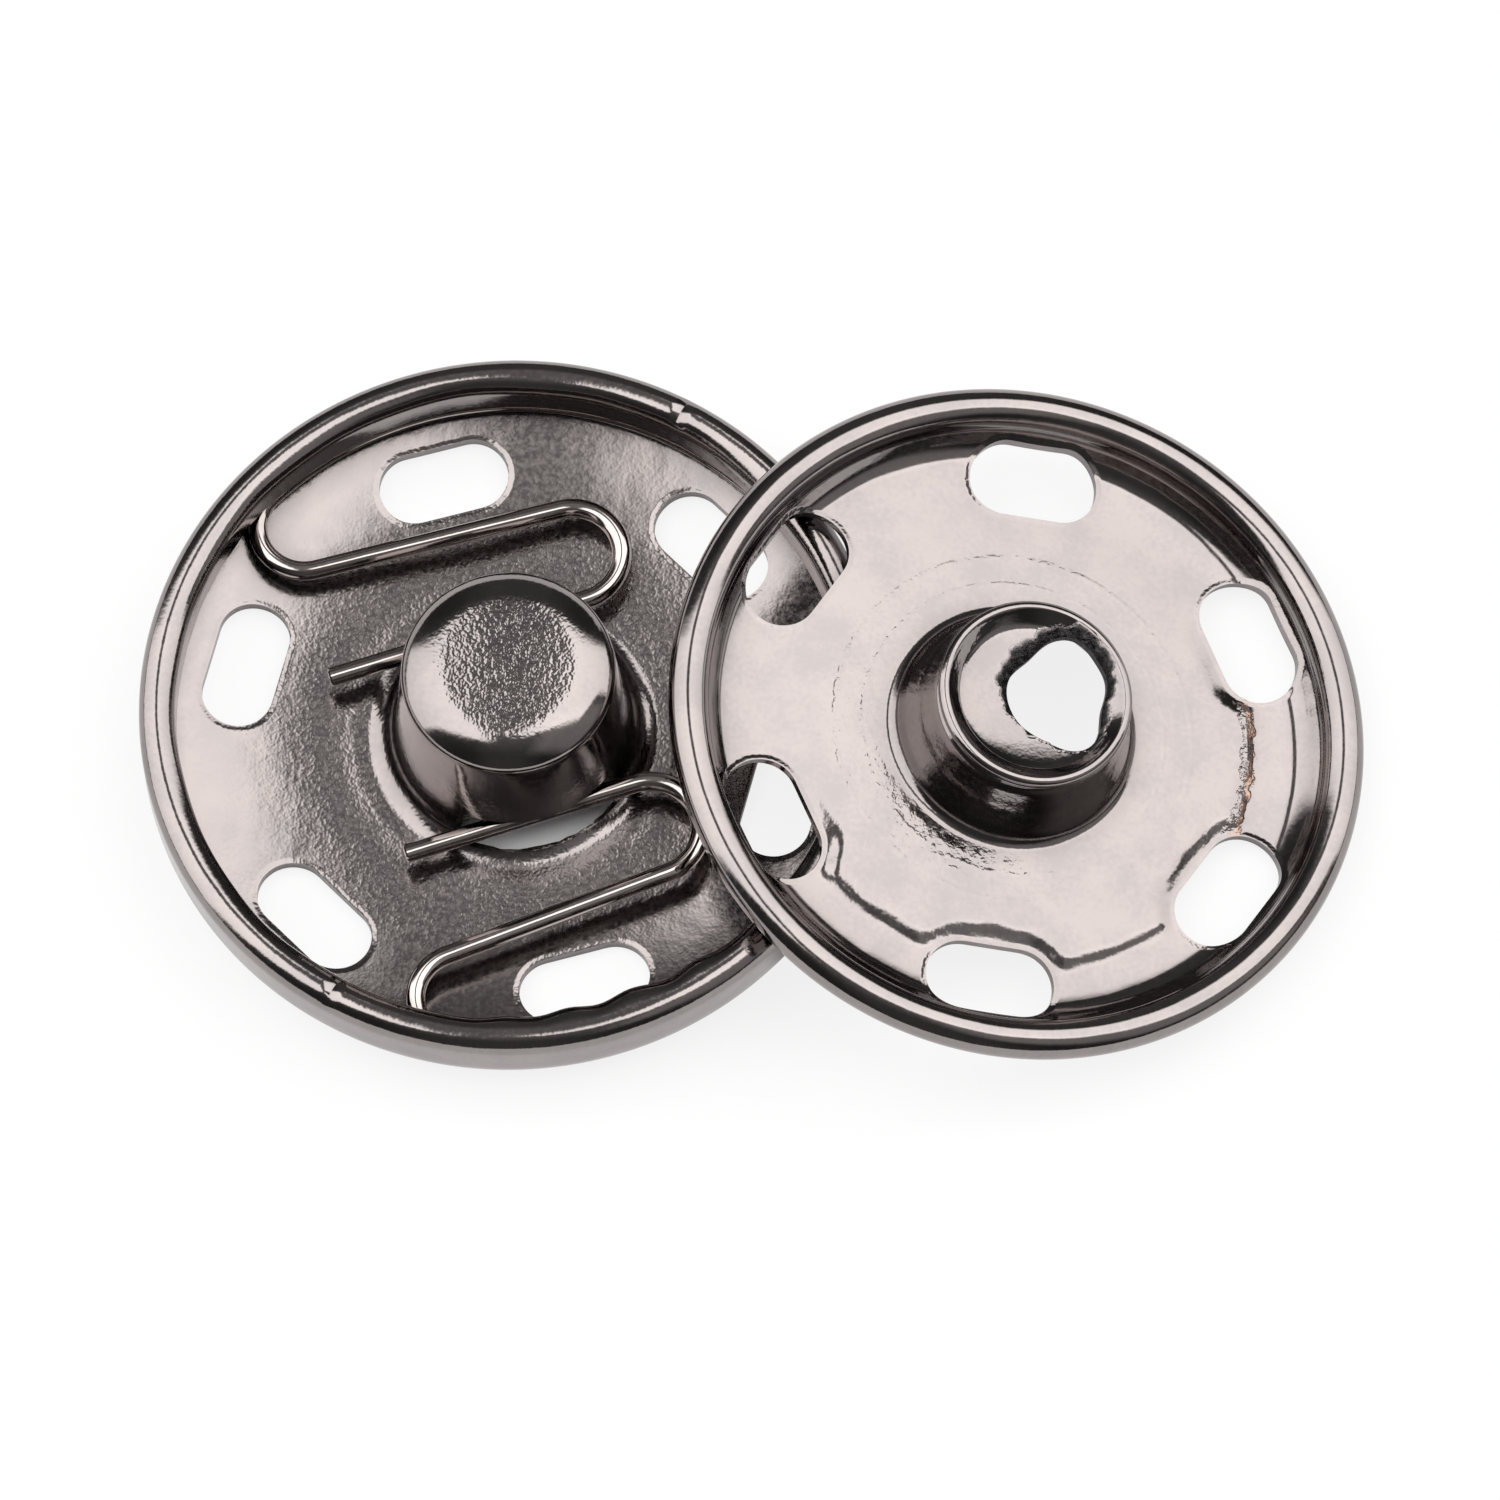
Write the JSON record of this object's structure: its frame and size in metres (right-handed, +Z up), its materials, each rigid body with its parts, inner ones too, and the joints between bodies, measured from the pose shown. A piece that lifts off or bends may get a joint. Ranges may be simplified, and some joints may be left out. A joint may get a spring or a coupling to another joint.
{
  "type": "sew-on snap fastener",
  "caption": "Sew-on metal snap fastener taken apart: a socket half with a closed boss and a bent wire spring, and a stud half with a hollow stud, both with thread slots.",
  "frame": {"origin": "centre of the bounding box's base, on the surface the halves lie on, between the two halves", "axes": "+Z up, +X from the socket half to the stud half, the way the stud half leans down"},
  "size_m": [0.0411, 0.025, 0.0069],
  "materials": {
    "socket_metal": "satin",
    "spring_metal": "polished",
    "stud_metal": "satin"
  },
  "bodies": {
    "root": {"socket_plate": "socket_metal", "socket_spring": "spring_metal", "stud_plate": "stud_metal"}
  },
  "joints": []
}
